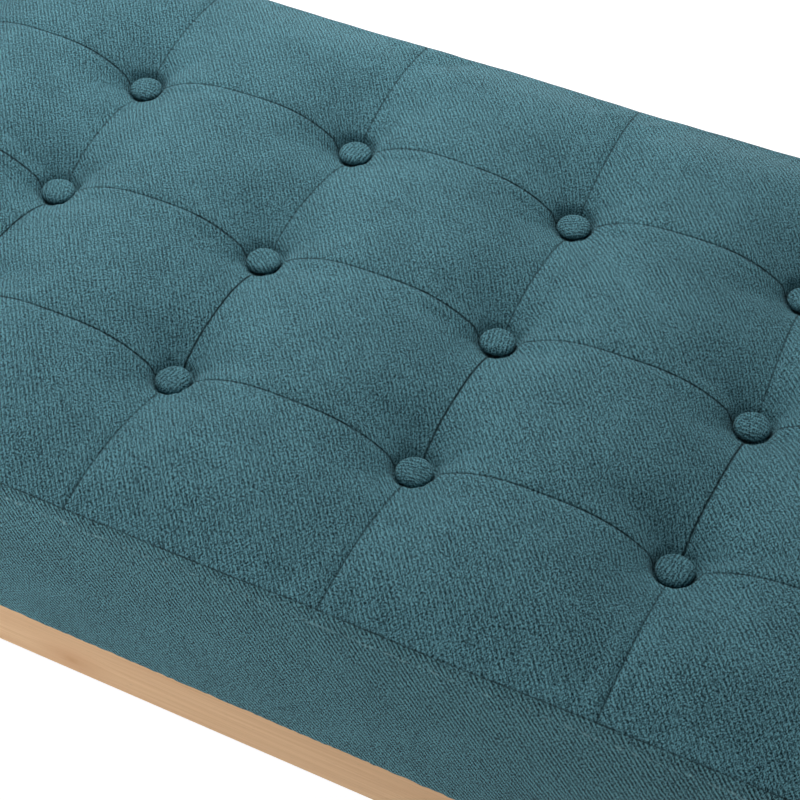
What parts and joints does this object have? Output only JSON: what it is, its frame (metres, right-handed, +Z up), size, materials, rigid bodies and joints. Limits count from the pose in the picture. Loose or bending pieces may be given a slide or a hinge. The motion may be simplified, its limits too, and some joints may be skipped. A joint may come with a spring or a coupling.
{
  "type": "upholstered bench",
  "caption": "Long backless bench with a button-tufted, teal tweed seat on a light wood rail frame with splayed, tapered round legs.",
  "frame": {"origin": "on the floor, under the middle of the seat", "axes": "+Z up, +X along the bench's length, -Y towards its front"},
  "size_m": [1.294, 0.484, 0.4153],
  "materials": {
    "upholstery": "teal heathered tweed with a fine twill rib, matt",
    "foam": "cut polyurethane foam, matt",
    "plywood": "unfinished plywood",
    "dust_cloth": "black non-woven cloth, matt",
    "twine": "waxed polyester twine",
    "light_wood": "pale straight-grained hardwood, clear satin lacquer",
    "zinc_steel": "zinc-plated steel",
    "nylon": "moulded nylon, matt"
  },
  "bodies": {
    "root": {"quilted_top": "upholstery", "side_band": "upholstery", "foam_block": "foam", "seat_deck": "plywood", "dust_cover": "dust_cloth", "tuft_twine_front": "twine", "tuft_twine_middle": "twine", "tuft_twine_back": "twine", "tuft_button_front_1": "upholstery", "tuft_button_front_2": "upholstery", "tuft_button_front_3": "upholstery", "tuft_button_front_4": "upholstery", "tuft_button_front_5": "upholstery", "tuft_button_front_6": "upholstery", "tuft_button_front_7": "upholstery", "tuft_button_middle_1": "upholstery", "tuft_button_middle_2": "upholstery", "tuft_button_middle_3": "upholstery", "tuft_button_middle_4": "upholstery", "tuft_button_middle_5": "upholstery", "tuft_button_middle_6": "upholstery", "tuft_button_middle_7": "upholstery", "tuft_button_back_1": "upholstery", "tuft_button_back_2": "upholstery", "tuft_button_back_3": "upholstery", "tuft_button_back_4": "upholstery", "tuft_button_back_5": "upholstery", "tuft_button_back_6": "upholstery", "tuft_button_back_7": "upholstery", "front_rail": "light_wood", "back_rail": "light_wood", "left_rail": "light_wood", "right_rail": "light_wood", "cross_rail_left": "light_wood", "cross_rail_right": "light_wood", "corner_block_front_left": "light_wood", "corner_block_front_right": "light_wood", "corner_block_back_right": "light_wood", "corner_block_back_left": "light_wood", "deck_screw_front_left": "zinc_steel", "deck_screw_front_right": "zinc_steel", "deck_screw_back_right": "zinc_steel", "deck_screw_back_left": "zinc_steel", "leg_plate_front_left": "zinc_steel", "leg_plate_front_right": "zinc_steel", "leg_plate_back_right": "zinc_steel", "leg_plate_back_left": "zinc_steel", "hanger_bolt_front_left": "zinc_steel", "hanger_bolt_front_right": "zinc_steel", "hanger_bolt_back_right": "zinc_steel", "hanger_bolt_back_left": "zinc_steel", "leg_front_left": "light_wood", "leg_front_right": "light_wood", "leg_back_right": "light_wood", "leg_back_left": "light_wood", "foot_glide_front_left": "nylon", "foot_glide_front_right": "nylon", "foot_glide_back_right": "nylon", "foot_glide_back_left": "nylon"}
  },
  "joints": []
}
